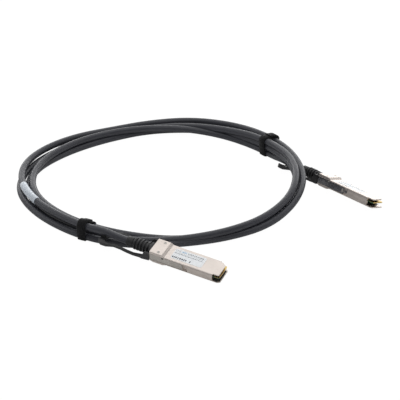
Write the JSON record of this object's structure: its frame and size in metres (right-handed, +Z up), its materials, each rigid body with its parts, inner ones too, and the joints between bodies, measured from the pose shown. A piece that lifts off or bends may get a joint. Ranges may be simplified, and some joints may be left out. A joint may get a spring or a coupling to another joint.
{
  "type": "direct attach copper cable",
  "caption": "Coiled passive copper network cable with a die-cast pluggable module at each end, each released by a sprung pull tab; two fabric ties hold the coil.",
  "frame": {"origin": "on the surface the coiled cable lies on, below the middle of the box around the two plugs", "axes": "+Z up from that surface; +X towards the right of the front view, +Y away from the front view; the near plug lies at -X -Y and the far plug at +X +Y, beyond the coil's ends"},
  "size_m": [0.35, 0.3155, 0.0267],
  "materials": {
    "shell_metal": "satin",
    "screw_steel": "satin",
    "card_gold": "satin",
    "conductor_copper": "satin",
    "ferrule_metal": "satin",
    "boot_rubber": "matte",
    "latch_metal": "satin",
    "tab_plastic": "matte",
    "label_film": "satin",
    "cable_jacket": "satin",
    "tie_fabric": "matte"
  },
  "bodies": {
    "assembly": {"near_bottom_shell": "shell_metal", "near_top_shell": "shell_metal", "near_screw_a": "screw_steel", "near_screw_b": "screw_steel", "near_paddle_card": "card_gold", "near_wire_fanout": "conductor_copper", "near_crimp_ferrule": "ferrule_metal", "near_cable_boot": "boot_rubber", "near_plug_label": "label_film", "far_bottom_shell": "shell_metal", "far_top_shell": "shell_metal", "far_screw_a": "screw_steel", "far_screw_b": "screw_steel", "far_paddle_card": "card_gold", "far_wire_fanout": "conductor_copper", "far_crimp_ferrule": "ferrule_metal", "far_cable_boot": "boot_rubber", "far_plug_label": "label_film", "cable_label": "label_film", "cable_coil": "cable_jacket", "cable_near_lead": "cable_jacket", "cable_far_lead": "cable_jacket", "tie_front": "tie_fabric", "tie_back": "tie_fabric"},
    "near_latch": {"near_latch_slider": "latch_metal", "near_pull_tab": "tab_plastic"},
    "far_latch": {"far_latch_slider": "latch_metal", "far_pull_tab": "tab_plastic"}
  },
  "joints": [
    {"name": "near_latch_pull", "type": "slide", "parent": "assembly", "child": "near_latch", "axis": [-0.8884, 0.4507, 0.0872], "range_m": [0, 0.003], "stiffness_N_per_m": 600, "springref_m": -0.001},
    {"name": "far_latch_pull", "type": "slide", "parent": "assembly", "child": "far_latch", "axis": [-0.6895, 0.7241, 0.0157], "range_m": [0, 0.003], "stiffness_N_per_m": 600, "springref_m": -0.001}
  ]
}
